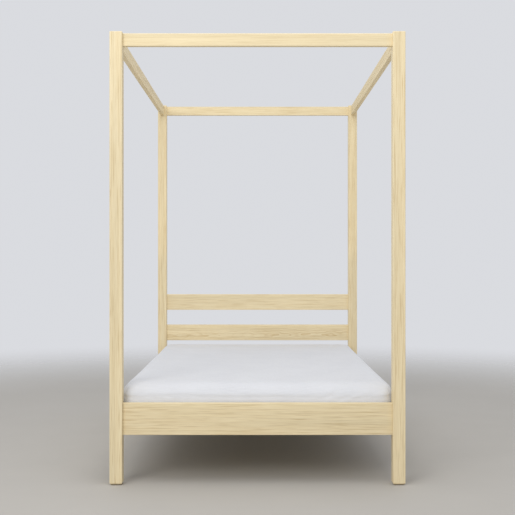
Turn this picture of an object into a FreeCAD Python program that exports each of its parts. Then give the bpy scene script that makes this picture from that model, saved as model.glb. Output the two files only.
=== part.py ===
"""Four poster canopy bed in solid pine for a 1200 x 2000 mm mattress.

Four square posts stand on felt pads. Twelve boards join them: four low bed rails, two headboard planks and
four canopy rails, each centred on its posts and square to them. Every board end is located by dowels and
drawn up by a hanger bolt whose nut sits in a round pocket on the board's hidden face. Ledgers on the side
rails carry a roll of slats on two webbing straps, and the slats carry a mattress in a fitted sheet.

Frame: millimetres, origin on the floor at the middle of the bed, +Z up, +Y from the foot end to the head end.
"""

import FreeCAD
import Part
import math
import os

from FreeCAD import Vector

# ---- driving dimensions --------------------------------------------------------------------------
MATTRESS_WIDTH = 1200.0
MATTRESS_LENGTH = 2000.0
MATTRESS_HEIGHT = 160.0
MATTRESS_CORNER = 75.0      # plan radius of the mattress's upright corners, which clears the posts
MATTRESS_EDGE = 46.0        # rounding of its top edges
MATTRESS_BASE_EDGE = 16.0   # rounding of its bottom edges
MATTRESS_PLAY = 5.5         # gap between the mattress and the inner face of each rail

POST = 55.0                 # side of the square post
POST_ROUND = 3.0
POST_FOOT_CHAMFER = 5.0
TOTAL_HEIGHT = 1978.0
PAD_THICKNESS = 3.0         # felt pad under each post
PAD_SIDE = 46.0

RAIL_THICKNESS = 24.0
RAIL_ROUND = 2.5
BED_RAIL_HEIGHT = 140.0
BED_RAIL_TOP = 356.0
PLANK_HEIGHT = 101.0
TOP_PLANK_TOP = 753.0
LOWER_PLANK_TOP = 555.5
CANOPY_RAIL_HEIGHT = 56.0
CANOPY_DROP = 6.0           # canopy rails stop this far below the post tops

SLAT_COUNT = 14
SLAT_WIDTH = 70.0
SLAT_THICKNESS = 18.0
SLAT_END_GAP = 60.0         # between the end slats and the end rails
SLAT_SIDE_PLAY = 4.0
LEDGER = 30.0               # side of the square ledger strip
LEDGER_LIFT = 7.0           # the ledger stands this far above the side rail's lower edge

STRAP_WIDTH = 22.0
STRAP_THICKNESS = 0.8
STRAP_OFFSET = 400.0        # each strap's centre line from the middle of the bed
STAPLE_CROWN = 12.0
STAPLE_LEG = 9.0
STAPLE_WIRE = 1.2
STAPLE_FLAT = 0.6

SHEET_GAP = 0.3             # between the mattress and the sheet
SHEET_THICKNESS = 1.0
SHEET_TUCK = 110.0          # how far the sheet reaches in under the mattress
REST_GAP = 0.3              # between the sheet and the slats

FIT = 0.05                  # radial clearance of dowels, bolts and screws in their holes

# ---- worked out from them ------------------------------------------------------------------------
RAIL_INSET = (POST - RAIL_THICKNESS) / 2
HALF_WIDTH = MATTRESS_WIDTH / 2 + MATTRESS_PLAY + RAIL_THICKNESS + RAIL_INSET
HALF_LENGTH = MATTRESS_LENGTH / 2 + MATTRESS_PLAY + RAIL_THICKNESS + RAIL_INSET
POST_X = HALF_WIDTH - POST / 2       # the posts' centre lines, which are also the rails' middle planes
POST_Y = HALF_LENGTH - POST / 2
SPAN_X = HALF_WIDTH - POST           # where the cross boards meet the posts
SPAN_Y = HALF_LENGTH - POST          # where the side boards meet the posts
BED_RAIL_FOOT = BED_RAIL_TOP - BED_RAIL_HEIGHT
CANOPY_TOP = TOTAL_HEIGHT - CANOPY_DROP
LEDGER_TOP = BED_RAIL_FOOT + LEDGER_LIFT + LEDGER
LEDGER_OUTER_X = HALF_WIDTH - RAIL_INSET - RAIL_THICKNESS
LEDGER_INNER_X = LEDGER_OUTER_X - LEDGER
SLAT_TOP = LEDGER_TOP + SLAT_THICKNESS
SLAT_HALF_LENGTH = LEDGER_OUTER_X - SLAT_SIDE_PLAY
FIRST_SLAT_Y = -(HALF_LENGTH - RAIL_INSET - RAIL_THICKNESS) + SLAT_END_GAP + SLAT_WIDTH / 2
SLAT_PITCH = -2 * FIRST_SLAT_Y / (SLAT_COUNT - 1)
MATTRESS_BASE = SLAT_TOP + REST_GAP + SHEET_THICKNESS + SHEET_GAP

X = Vector(1, 0, 0)
Y = Vector(0, 1, 0)
Z = Vector(0, 0, 1)
SIDES = ((-1, "left"), (1, "right"))


class BoltSet:
    """Sizes of one hanger bolt, its half-moon washer, its hex nut and the pocket that they sit in."""

    def __init__(self, radius, grip, pocket_radius, pocket_depth, washer, washer_height, nut_flats, nut):
        self.radius = radius                # of the bolt
        self.grip = grip                    # how deep the bolt is screwed into the post
        self.pocket_radius = pocket_radius
        self.pocket_depth = pocket_depth
        self.washer = washer                # thickness of the washer at its middle
        self.washer_height = washer_height
        self.nut_flats = nut_flats          # across flats
        self.nut = nut                      # thickness of the nut
        self.setback = pocket_radius + 10   # pocket centre from the board's end
        self.passage = radius + 0.5         # radius of the hole along the board


BED_BOLT = BoltSet(4.0, 38.0, 12.5, 19.5, 6.0, 14.0, 13.0, 6.5)
CANOPY_BOLT = BoltSet(3.0, 21.0, 10.0, 18.5, 5.0, 11.0, 10.0, 5.0)
BOLT_TAIL = 3.0             # bolt left showing past the nut's inner face
DOWEL_RADIUS = 4.0
DOWEL_HALF = 20.0
DOWEL_HOLE = 21.0
CAP_THICKNESS = 3.0
CAP_SINK = 0.3


class Board:
    """One board between two posts. Its pockets open on the +1 or -1 side across it, which pocket says."""

    def __init__(self, name, along, offset, level, pocket, joint):
        self.name = name
        self.along = along                  # X for a cross board, Y for a side board
        self.offset = offset                # of its middle plane, across
        self.top, self.height = level
        self.foot = self.top - self.height
        self.pocket = pocket
        self.family, self.bolts, bolt_height, dowel_heights = joint
        self.bolt_z = self.foot + bolt_height
        self.dowel_z = [self.foot + h for h in dowel_heights]

    @property
    def across(self):
        return Y if self.along is X else X

    @property
    def half(self):
        return SPAN_X if self.along is X else SPAN_Y

    def end(self, side, z):
        """The middle of the board's end on that side, at height z."""
        return self.along * (side * self.half) + self.across * self.offset + Z * z

    def post_key(self, side):
        """The signs of x and y of the post at that end."""
        beside = 1 if self.offset > 0 else -1
        return (side, beside) if self.along is X else (beside, side)


# joints: family, bolt set, height of the bolt and heights of the dowels above the board's lower edge
# (side and cross boards meet each post at one level, so their bolts and dowels sit at different heights)
SIDE_JOINT = ("frame", BED_BOLT, 88.0, (20.0, 120.0))
CROSS_JOINT = ("frame", BED_BOLT, 55.0, (35.0, 105.0))
PLANK_JOINT = ("headboard", BED_BOLT, PLANK_HEIGHT / 2, (20.0, PLANK_HEIGHT - 20.0))
CANOPY_JOINT = ("canopy", CANOPY_BOLT, 36.0, (15.0,))

# levels: top and height
BED_LEVEL = (BED_RAIL_TOP, BED_RAIL_HEIGHT)
TOP_PLANK_LEVEL = (TOP_PLANK_TOP, PLANK_HEIGHT)
LOWER_PLANK_LEVEL = (LOWER_PLANK_TOP, PLANK_HEIGHT)
CANOPY_LEVEL = (CANOPY_TOP, CANOPY_RAIL_HEIGHT)

BED_BOARDS = [
    Board("footboard_rail", X, -POST_Y, BED_LEVEL, 1, CROSS_JOINT),
    Board("head_end_rail", X, POST_Y, BED_LEVEL, -1, CROSS_JOINT),
    Board("left_side_rail", Y, -POST_X, BED_LEVEL, 1, SIDE_JOINT),
    Board("right_side_rail", Y, POST_X, BED_LEVEL, -1, SIDE_JOINT),
]
HEADBOARD = [
    Board("headboard_top_plank", X, POST_Y, TOP_PLANK_LEVEL, 1, PLANK_JOINT),
    Board("headboard_lower_plank", X, POST_Y, LOWER_PLANK_LEVEL, 1, PLANK_JOINT),
]
CANOPY = [
    Board("canopy_front_rail", X, -POST_Y, CANOPY_LEVEL, 1, CANOPY_JOINT),
    Board("canopy_rear_rail", X, POST_Y, CANOPY_LEVEL, 1, CANOPY_JOINT),
    Board("canopy_left_rail", Y, -POST_X, CANOPY_LEVEL, 1, CANOPY_JOINT),
    Board("canopy_right_rail", Y, POST_X, CANOPY_LEVEL, -1, CANOPY_JOINT),
]
BOARDS = BED_BOARDS + HEADBOARD + CANOPY


# ---- shapes --------------------------------------------------------------------------------------
def box(low, high):
    size = high.sub(low)
    return Part.makeBox(size.x, size.y, size.z, low)


def rounded(solid, radius, along=None):
    """The solid with its edges rounded: all of them, or only those that run along one direction."""
    edges = [
        e for e in solid.Edges
        if along is None or abs(e.tangentAt(e.FirstParameter).dot(along)) > 0.99
    ]
    return solid.makeFillet(radius, edges)


def rod(start, direction, length, radius):
    return Part.makeCylinder(radius, length, start, direction)


def hexagon_nut(start, direction, flats, thickness, flat_side, bore):
    """A nut along direction from start, with a pair of flats facing flat_side."""
    other = direction.cross(flat_side)
    corner = flats / math.sqrt(3)
    points = []
    for k in range(7):
        angle = math.radians(60 * k)
        points.append(start + other * (corner * math.cos(angle)) + flat_side * (corner * math.sin(angle)))
    prism = Part.Face(Part.makePolygon(points)).extrude(direction * thickness)
    return prism.cut(rod(start - direction, direction, thickness + 2, bore))


def rounded_block(width, length, height, base, corner, top_edge, base_edge):
    """An upright block with rounded plan corners, its base at that height and its edges rounded."""
    block = Part.makeBox(width, length, height, Vector(-width / 2, -length / 2, base))
    block = rounded(block, corner, Z)
    top = [e for e in block.Edges if e.BoundBox.ZMin > base + height - 0.01]
    block = block.makeFillet(top_edge, top)
    low = [e for e in block.Edges if e.BoundBox.ZMax < base + 0.01]
    return block.makeFillet(base_edge, low)


def screw(tip, direction, length, shank, head):
    """A countersunk wood screw whose head is flush at tip - direction * length."""
    top = tip - direction * length
    depth = head - shank
    cone = Part.makeCone(head, shank, depth, top, direction)
    point = Part.makeCone(shank, shank * 0.15, shank * 2, tip - direction * (shank * 2), direction)
    body = rod(top + direction * depth, direction, length - depth - shank * 2, shank)
    return cone.fuse([body, point]).removeSplitter()


def screw_hole(tip, direction, length, shank, head):
    """What the screw's hole takes away, from just outside the face that its head is flush with."""
    top = tip - direction * length
    depth = head - shank
    bore = rod(top - direction, direction, length + 1.5, shank + FIT)
    return bore.fuse(Part.makeCone(head + FIT, shank + FIT, depth, top, direction))


# ---- joints between boards and posts -------------------------------------------------------------
def board_cuts(board, side):
    """What the joint at that end takes from the board."""
    bolts = board.bolts
    out = board.along * side
    opening = board.across * board.pocket
    centre = board.end(side, board.bolt_z) - out * bolts.setback
    floor = centre + opening * (RAIL_THICKNESS / 2 - bolts.pocket_depth)
    cuts = [
        rod(centre, out, bolts.setback + 1, bolts.passage),
        rod(floor, opening, bolts.pocket_depth + 1, bolts.pocket_radius),
    ]
    for z in board.dowel_z:
        cuts.append(rod(board.end(side, z) - out * DOWEL_HOLE, out, DOWEL_HOLE + 1, DOWEL_RADIUS + FIT))
    return cuts


def post_cuts(board, side):
    """What the joint at that end of the board takes from the post."""
    bolts = board.bolts
    out = board.along * side
    cuts = [rod(board.end(side, board.bolt_z) - out, out, bolts.grip + 2, bolts.radius + FIT)]
    for z in board.dowel_z:
        cuts.append(rod(board.end(side, z) - out, out, DOWEL_HOLE + 1, DOWEL_RADIUS + FIT))
    return cuts


def joint_hardware(board):
    """The bolts, washers, nuts and dowels of both ends of the board, as lists of solids."""
    made = {"bolts": [], "washers": [], "nuts": [], "dowels": []}
    bolts = board.bolts
    opening = board.across * board.pocket
    for side in (-1, 1):
        out = board.along * side
        centre = board.end(side, board.bolt_z) - out * bolts.setback
        seat = bolts.pocket_radius - bolts.washer          # washer's flat face from the pocket's centre
        tail = seat - bolts.nut - BOLT_TAIL
        made["bolts"].append(rod(centre + out * tail, out, bolts.setback + bolts.grip - tail, bolts.radius))
        made["washers"].append(half_moon(centre, out, opening, bolts, seat))
        nut = hexagon_nut(
            centre + out * (seat - bolts.nut), out, bolts.nut_flats, bolts.nut, opening, bolts.radius + FIT
        )
        made["nuts"].append(nut)
        for z in board.dowel_z:
            made["dowels"].append(dowel(board.end(side, z), out))
    return made


def pocket_caps(board):
    """The caps that close the board's pockets, just below its surface."""
    caps = []
    opening = board.across * board.pocket
    for side in (-1, 1):
        centre = board.end(side, board.bolt_z) - board.along * (side * board.bolts.setback)
        outer = centre + opening * (RAIL_THICKNESS / 2 - CAP_SINK)
        inner = outer - opening * CAP_THICKNESS
        cap = rod(inner, opening, CAP_THICKNESS, board.bolts.pocket_radius - 2 * FIT)
        rim = [e for e in cap.Edges if e.CenterOfMass.distanceToPoint(outer) < 0.1]
        caps.append(cap.makeChamfer(0.5, rim))
    return caps


def half_moon(centre, out, opening, bolts, seat):
    """A washer with one curved side that beds on the pocket's wall and one flat side for the nut."""
    radius = bolts.pocket_radius - FIT
    disc = rod(centre - opening * (bolts.washer_height / 2), opening, bolts.washer_height, radius)
    reach = bolts.pocket_radius * 2
    other = out.cross(opening)
    near = centre + out * seat + other * reach + opening * reach
    waste = box_between(near, centre - out * reach - other * reach - opening * reach)
    return disc.cut(waste).cut(rod(centre, out, reach, bolts.radius + FIT))


def box_between(a, b):
    low = Vector(min(a.x, b.x), min(a.y, b.y), min(a.z, b.z))
    high = Vector(max(a.x, b.x), max(a.y, b.y), max(a.z, b.z))
    return box(low, high)


def dowel(middle, out):
    """A beech dowel across the joint, with chamfered ends."""
    pin = rod(middle - out * DOWEL_HALF, out, 2 * DOWEL_HALF, DOWEL_RADIUS)
    ends = [e for e in pin.Edges if e.Curve.TypeId == "Part::GeomCircle"]
    return pin.makeChamfer(1.0, ends)


# ---- ledgers, slats and what holds them ----------------------------------------------------------
LEDGER_SCREWS = 6
LEDGER_SCREW = (45.0, 2.2, 4.4)      # length, shank radius, head radius
LEDGER_SCREW_MARGIN = 70.0
SLAT_SCREW = (38.0, 1.9, 3.8)
SLAT_SCREW_SPREAD = 20.0             # from the slat's centre line


def ledger_screw_places(side):
    """(tip, direction) of each screw through the ledger into the side rail."""
    direction = X * side
    z = LEDGER_TOP - LEDGER / 2
    tip_x = side * (LEDGER_INNER_X + LEDGER_SCREW[0])
    reach = SPAN_Y - LEDGER_SCREW_MARGIN
    step = 2 * reach / (LEDGER_SCREWS - 1)
    return [(Vector(tip_x, -reach + k * step, z), direction) for k in range(LEDGER_SCREWS)]


def slat_y(k):
    return FIRST_SLAT_Y + k * SLAT_PITCH


def slat_screw_places(k, side):
    """(tip, direction) of the two screws through one end of an end slat into the ledger."""
    x = side * (LEDGER_INNER_X + LEDGER / 2)
    z = SLAT_TOP - SLAT_SCREW[0]
    return [(Vector(x, slat_y(k) + spread, z), -Z) for spread in (-SLAT_SCREW_SPREAD, SLAT_SCREW_SPREAD)]


END_SLATS = (0, SLAT_COUNT - 1)


def ledger(side):
    low_x, high_x = sorted((side * LEDGER_INNER_X, side * LEDGER_OUTER_X))
    length = SPAN_Y - 1
    strip = box(Vector(low_x, -length, LEDGER_TOP - LEDGER), Vector(high_x, length, LEDGER_TOP))
    strip = rounded(strip, 2.0, Y)
    holes = [screw_hole(tip, way, *LEDGER_SCREW) for tip, way in ledger_screw_places(side)]
    for k in END_SLATS:
        holes += [screw_hole(tip, way, *SLAT_SCREW) for tip, way in slat_screw_places(k, side)]
    return strip.cut(holes)


def slat(k):
    y = slat_y(k)
    board = box(
        Vector(-SLAT_HALF_LENGTH, y - SLAT_WIDTH / 2, LEDGER_TOP),
        Vector(SLAT_HALF_LENGTH, y + SLAT_WIDTH / 2, SLAT_TOP),
    )
    board = rounded(board, 2.5, X)
    if k in END_SLATS:
        holes = []
        for side, _ in SIDES:
            holes += [screw_hole(tip, way, *SLAT_SCREW) for tip, way in slat_screw_places(k, side)]
        board = board.cut(holes)
    return board


def strap(side):
    """One webbing strap under all the slats."""
    reach = -FIRST_SLAT_Y + SLAT_WIDTH / 2 - 8
    x = side * STRAP_OFFSET
    return box(
        Vector(x - STRAP_WIDTH / 2, -reach, LEDGER_TOP - STRAP_THICKNESS),
        Vector(x + STRAP_WIDTH / 2, reach, LEDGER_TOP),
    )


def staple(x, y):
    """A flat-wire staple driven up through the strap into a slat."""
    low = LEDGER_TOP - STRAP_THICKNESS - STAPLE_FLAT
    half = STAPLE_CROWN / 2
    wire = STAPLE_WIRE / 2
    crown = box(Vector(x - half, y - wire, low), Vector(x + half, y + wire, low + STAPLE_FLAT))
    legs = []
    for inner, outer in ((-half, -half + STAPLE_FLAT), (half - STAPLE_FLAT, half)):
        legs.append(box(Vector(x + inner, y - wire, low), Vector(x + outer, y + wire, low + STAPLE_LEG)))
    return crown.fuse(legs).removeSplitter()


# ---- posts, pads and bedding ---------------------------------------------------------------------
def post(x_side, y_side, cuts):
    centre = Vector(x_side * POST_X, y_side * POST_Y, 0)
    corner = Vector(POST / 2, POST / 2, 0)
    column = box(centre - corner + Z * PAD_THICKNESS, centre + corner + Z * TOTAL_HEIGHT)
    foot = [e for e in column.Edges if e.BoundBox.ZMax < PAD_THICKNESS + 0.01]
    column = column.makeChamfer(POST_FOOT_CHAMFER, foot)
    return rounded(column, POST_ROUND).cut(cuts)


def pad(x_side, y_side):
    centre = Vector(x_side * POST_X, y_side * POST_Y, 0)
    corner = Vector(PAD_SIDE / 2, PAD_SIDE / 2, 0)
    return rounded(box(centre - corner, centre + corner + Z * PAD_THICKNESS), 6.0, Z)


def mattress_block(grow):
    """The mattress's outer shape, grown outwards by that much."""
    return rounded_block(
        MATTRESS_WIDTH + 2 * grow, MATTRESS_LENGTH + 2 * grow, MATTRESS_HEIGHT + 2 * grow,
        MATTRESS_BASE - grow, MATTRESS_CORNER + grow, MATTRESS_EDGE + grow, MATTRESS_BASE_EDGE + grow,
    )


def fitted_sheet():
    """A skin over the mattress that wraps its edges and leaves the middle of its base bare."""
    skin = mattress_block(SHEET_GAP + SHEET_THICKNESS).cut(mattress_block(SHEET_GAP))
    half_x = MATTRESS_WIDTH / 2 - SHEET_TUCK
    half_y = MATTRESS_LENGTH / 2 - SHEET_TUCK
    bare = box(
        Vector(-half_x, -half_y, MATTRESS_BASE - 3),
        Vector(half_x, half_y, MATTRESS_BASE + MATTRESS_HEIGHT / 2),
    )
    return skin.cut(rounded(bare, MATTRESS_CORNER, Z))


# ---- writing -------------------------------------------------------------------------------------
def write(name, solids):
    """Writes one node, after a look at each of its solids."""
    found = []
    for shape in solids:
        if not shape.isValid():
            raise ValueError(f"{name} holds a shape that is not valid")
        found += shape.Solids
    whole = found[0] if len(found) == 1 else Part.makeCompound(found)
    whole.exportStep(f"parts/{name}.step")
    volume = sum(s.Volume for s in found) / 1e6
    print(f"{name:28s} solids {len(found):3d}  litres {volume:8.3f}")


def write_boards():
    for board in BOARDS:
        cuts = board_cuts(board, -1) + board_cuts(board, 1)
        for side, name in SIDES:
            if board.name == f"{name}_side_rail":
                cuts += [screw_hole(tip, way, *LEDGER_SCREW) for tip, way in ledger_screw_places(side)]
        half = board.along * board.half + board.across * (RAIL_THICKNESS / 2)
        middle = board.across * board.offset
        solid = box(middle - half + Z * board.foot, middle + half + Z * board.top)
        write(board.name, [rounded(solid, RAIL_ROUND, board.along).cut(cuts)])


def write_joint_hardware():
    hardware = {}
    for board in BOARDS:
        for kind, made in joint_hardware(board).items():
            hardware.setdefault(f"{board.family}_{kind}", []).extend(made)
    for board in CANOPY:
        hardware.setdefault("canopy_caps", []).extend(pocket_caps(board))
    for name, solids in hardware.items():
        write(name, solids)


def write_posts():
    for y_side, end in ((-1, "front"), (1, "rear")):
        for x_side, name in SIDES:
            cuts = []
            for board in BOARDS:
                for side in (-1, 1):
                    if board.post_key(side) == (x_side, y_side):
                        cuts += post_cuts(board, side)
            write(f"{end}_{name}_post", [post(x_side, y_side, cuts)])
            write(f"{end}_{name}_felt_pad", [pad(x_side, y_side)])


def write_slat_base():
    ledger_screws = []
    slat_screws = []
    staples = []
    for side, name in SIDES:
        write(f"{name}_slat_ledger", [ledger(side)])
        write(f"{name}_slat_strap", [strap(side)])
        ledger_screws += [screw(tip, way, *LEDGER_SCREW) for tip, way in ledger_screw_places(side)]
        for k in END_SLATS:
            slat_screws += [screw(tip, way, *SLAT_SCREW) for tip, way in slat_screw_places(k, side)]
        staples += [staple(side * STRAP_OFFSET, slat_y(k)) for k in range(SLAT_COUNT)]
    write("ledger_screws", ledger_screws)
    write("slat_screws", slat_screws)
    write("strap_staples", staples)
    for k in range(SLAT_COUNT):
        write(f"slat_{k + 1:02d}", [slat(k)])


os.makedirs("parts", exist_ok=True)
write_posts()
write_boards()
write_joint_hardware()
write_slat_base()
write("mattress", [mattress_block(0)])
write("fitted_sheet", [fitted_sheet()])
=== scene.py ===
"""Looks of the four poster canopy bed.

The pine boards, dowels, caps and metal parts are CAD nodes that keep their shape and get a
material. The mattress, the fitted sheet, the webbing straps and the felt pads replace their plain
CAD solids. Lengths are in metres in the CAD's frame: the floor is z = 0, the foot end faces -Y.
"""

import math

import bpy
import numpy as np
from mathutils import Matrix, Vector
from mathutils.bvhtree import BVHTree


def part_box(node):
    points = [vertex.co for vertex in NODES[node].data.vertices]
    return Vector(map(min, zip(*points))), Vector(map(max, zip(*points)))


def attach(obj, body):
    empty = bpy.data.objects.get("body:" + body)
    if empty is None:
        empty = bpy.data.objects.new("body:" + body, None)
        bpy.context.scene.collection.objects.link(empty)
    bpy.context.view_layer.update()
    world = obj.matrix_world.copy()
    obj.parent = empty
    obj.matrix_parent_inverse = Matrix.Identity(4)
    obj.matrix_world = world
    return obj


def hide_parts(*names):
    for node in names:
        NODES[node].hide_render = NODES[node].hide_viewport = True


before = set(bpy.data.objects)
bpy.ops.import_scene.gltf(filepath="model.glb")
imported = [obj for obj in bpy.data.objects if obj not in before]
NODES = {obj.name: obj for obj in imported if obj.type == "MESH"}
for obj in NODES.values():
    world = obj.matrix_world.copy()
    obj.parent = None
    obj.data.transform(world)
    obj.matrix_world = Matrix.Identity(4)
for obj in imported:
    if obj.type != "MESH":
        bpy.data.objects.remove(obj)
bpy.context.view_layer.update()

FRAME_BODY = "bed_frame"
BEDDING_BODY = "bedding"

MATTRESS_LOW, MATTRESS_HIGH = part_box("mattress")
HALF_X, HALF_Y = MATTRESS_HIGH.x, MATTRESS_HIGH.y
BASE_Z, TOP_Z = MATTRESS_LOW.z, MATTRESS_HIGH.z


# ---- material nodes --------------------------------------------------------------------------
class Tree:
    """A short way to write node trees. Every call returns the new node's first output."""

    def __init__(self, tree):
        self.tree = tree

    def node(self, kind, **props):
        made = self.tree.nodes.new(kind)
        for key, value in props.items():
            setattr(made, key, value)
        return made

    def put(self, socket, value):
        if isinstance(value, bpy.types.NodeSocket):
            self.tree.links.new(value, socket)
        elif value is not None:
            socket.default_value = value

    def fill(self, made, values):
        for socket, value in zip(made.inputs, values):
            self.put(socket, value)
        return made.outputs[0]

    def math(self, operation, *values):
        return self.fill(self.node("ShaderNodeMath", operation=operation), values)

    def add(self, a, b):
        return self.math("ADD", a, b)

    def sub(self, a, b):
        return self.math("SUBTRACT", a, b)

    def mul(self, a, b):
        return self.math("MULTIPLY", a, b)

    def abs(self, a):
        return self.math("ABSOLUTE", a)

    def sine(self, a, pitch):
        """A wave with a zero every pitch."""
        return self.math("SINE", self.mul(a, math.pi / pitch))

    def vmath(self, operation, *values):
        return self.fill(self.node("ShaderNodeVectorMath", operation=operation), values)

    def combine(self, x, y, z):
        return self.fill(self.node("ShaderNodeCombineXYZ"), (x, y, z))

    def separate(self, vector):
        made = self.node("ShaderNodeSeparateXYZ")
        self.put(made.inputs[0], vector)
        return made.outputs

    def noise(self, vector, scale=1.0, detail=2.0, roughness=0.5, distortion=0.0):
        made = self.node("ShaderNodeTexNoise")
        self.put(made.inputs["Vector"], vector)
        self.put(made.inputs["Scale"], scale)
        self.put(made.inputs["Detail"], detail)
        self.put(made.inputs["Roughness"], roughness)
        self.put(made.inputs["Distortion"], distortion)
        return made.outputs["Fac"]

    def stretched(self, vector, scales, detail):
        """Noise with its own scale along each axis."""
        return self.noise(self.vmath("MULTIPLY", vector, scales), 1.0, detail)

    def span(self, value, low, high, to_low=0.0, to_high=1.0):
        """Maps low..high smoothly to to_low..to_high."""
        made = self.node("ShaderNodeMapRange", interpolation_type="SMOOTHSTEP")
        return self.fill(made, (value, low, high, to_low, to_high))

    def mix(self, factor, a, b, blend="MIX"):
        made = self.node("ShaderNodeMix", data_type="RGBA", blend_type=blend)
        self.put(made.inputs["Factor"], factor)
        self.put(made.inputs["A"], a)
        self.put(made.inputs["B"], b)
        return made.outputs["Result"]

    def bump(self, height, distance, strength=1.0, normal=None):
        made = self.node("ShaderNodeBump")
        self.put(made.inputs["Height"], height)
        self.put(made.inputs["Distance"], distance)
        self.put(made.inputs["Strength"], strength)
        self.put(made.inputs["Normal"], normal)
        return made.outputs[0]


def new_material(name, **plain):
    """A material with one Principled shader: returns it, its tree and the shader.

    plain gives the shader's even values, such as Sheen_Weight=0.2.
    """
    material = bpy.data.materials.new(name)
    material.use_nodes = True
    material.node_tree.nodes.clear()
    tree = Tree(material.node_tree)
    out = tree.node("ShaderNodeOutputMaterial")
    shader = tree.node("ShaderNodeBsdfPrincipled")
    tree.put(out.inputs["Surface"], shader.outputs[0])
    for key, value in plain.items():
        shader.inputs[key.replace("_", " ")].default_value = value
    return material, tree, shader


def object_coords(tree):
    return tree.node("ShaderNodeTexCoord").outputs["Object"]


# ---- pine ------------------------------------------------------------------------------------
RING_PITCH = 0.0034          # one year's growth
TAPER = 0.0035               # how much a trunk's rings drift in radius over a metre
BEND_ACROSS, BEND_THROUGH = 0.022, 0.016    # how far the trunk's slow waves shift them
RIPPLE = 0.0016              # their own unevenness
EYE_DEPTH = 0.0072           # how far figured wood shifts them
UNEVEN_YEARS = 2.4           # how far good and bad years shift them, counted in rings
EARLY_WOOD = (0.815, 0.694, 0.450, 1)
LATE_WOOD = (0.640, 0.480, 0.250, 1)
MEAN_WOOD = (0.790, 0.668, 0.425, 1)
RESIN_STREAK = (0.560, 0.415, 0.212, 1)
PALE_STREAK = (0.90, 0.79, 0.56, 1)
PALE_LINE = (0.93, 0.83, 0.60, 1)
# painted highlight along the rounded arrises
EDGE_HIGHLIGHT = (0.900, 0.790, 0.540, 1)
SEED_STEP = (7.31, 3.17, 1.93)
PINE_SOCKETS = {
    "INPUT": {"Vector": "Vector", "Seed": "Float", "Pith": "Vector", "Rings": "Float",
              "Tone": "Float", "Figure": "Float", "Calm": "Float"},
    "OUTPUT": {"Color": "Color", "Roughness": "Float", "Height": "Float"},
}


def make_pine_group():
    """Growth rings round a pith. Vector is (along the grain, across, through the board).

    Rings is how strongly late wood shows, Figure how far the rings break into eyes, and Calm how
    far the streaks are evened out.
    """
    group = bpy.data.node_groups.new("pine_grain", "ShaderNodeTree")
    for side, sockets in PINE_SOCKETS.items():
        for name, kind in sockets.items():
            group.interface.new_socket(name, in_out=side, socket_type="NodeSocket" + kind)
    t = Tree(group)
    inp = t.node("NodeGroupInput").outputs
    shift = t.vmath("MULTIPLY", t.combine(inp["Seed"], inp["Seed"], inp["Seed"]), SEED_STEP)
    point = t.vmath("ADD", inp["Vector"], shift)

    def grain(along, across, detail=2.0, roughness=0.5, scale=1.0):
        """Noise with that many cells a metre along and across the board."""
        cells = t.vmath("MULTIPLY", point, (along, across, across))
        return t.noise(cells, scale, detail, roughness)

    # the trunk's own waviness is slow along it
    wave_across = t.sub(grain(1.3, 5.0), 0.5)
    wave_through = t.sub(grain(2.1, 9.0, scale=1.7), 0.5)
    _, across, through = t.separate(t.vmath("SUBTRACT", inp["Vector"], inp["Pith"]))
    across = t.add(across, t.mul(wave_across, BEND_ACROSS))
    through = t.add(through, t.mul(wave_through, BEND_THROUGH))
    square = t.add(t.math("POWER", across, 2.0), t.math("POWER", through, 2.0))
    radius = t.math("SQRT", square)
    radius = t.add(radius, t.mul(t.separate(inp["Vector"])[0], TAPER))
    ripple = t.sub(grain(9.0, 60.0, 3.0, 0.6), 0.5)
    radius = t.add(radius, t.mul(ripple, RIPPLE))
    # figured wood: short waves along the trunk break the rings into a row of eyes
    eyes = t.sub(grain(15.0, 12.0, 1.0), 0.5)
    radius = t.add(radius, t.mul(eyes, t.mul(inp["Figure"], EYE_DEPTH)))
    years = t.noise(t.combine(t.mul(radius, 90.0), inp["Seed"], 0.0), 1.0, 1.0)
    phase = t.add(t.math("DIVIDE", radius, RING_PITCH), t.mul(years, UNEVEN_YEARS))
    year = t.math("FRACT", phase)
    late = t.mul(t.span(year, 0.35, 0.86), t.span(year, 0.90, 1.0, 1.0, 0.0))
    strength = t.span(grain(0.7, 26.0), 0.30, 0.72, 0.25, 1.0)
    rings = t.mul(t.mul(late, strength), inp["Rings"])

    # fibres, and the streaks and finer lines that run along a planed face
    fibre = grain(14.0, 900.0, 3.0, 0.65)
    streak = grain(4.0, 190.0, 3.0, 0.6)
    band = grain(0.55, 30.0)
    cloud = grain(0.8, 5.0)
    color = t.mix(rings, EARLY_WOOD, LATE_WOOD)
    color = t.mix(t.span(streak, 0.50, 0.72, 0.0, 0.55), color, RESIN_STREAK)
    color = t.mix(t.span(streak, 0.46, 0.30, 0.0, 0.35), color, PALE_STREAK)
    line = grain(6.5, 330.0, 2.0, 0.55)
    color = t.mix(t.span(line, 0.56, 0.68, 0.0, 0.60), color, RESIN_STREAK)
    color = t.mix(t.span(line, 0.42, 0.28, 0.0, 0.30), color, PALE_LINE)
    color = t.mix(inp["Calm"], color, MEAN_WOOD)
    value = t.add(t.span(band, 0.25, 0.75, 0.945, 1.05), t.span(cloud, 0.25, 0.75, -0.035, 0.035))
    value = t.add(value, t.span(fibre, 0.25, 0.75, -0.045, 0.045))
    value = t.mul(value, inp["Tone"])
    color = t.mix(1.0, color, t.combine(value, value, value), "MULTIPLY")
    rough = t.add(t.span(fibre, 0.2, 0.8, 0.44, 0.56), t.mul(rings, -0.07))
    height = t.add(t.mul(rings, 0.55), t.mul(fibre, 0.8))
    out = t.node("NodeGroupOutput").inputs
    t.put(out["Color"], color)
    t.put(out["Roughness"], rough)
    t.put(out["Height"], height)
    return group


PINE = make_pine_group()
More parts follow.
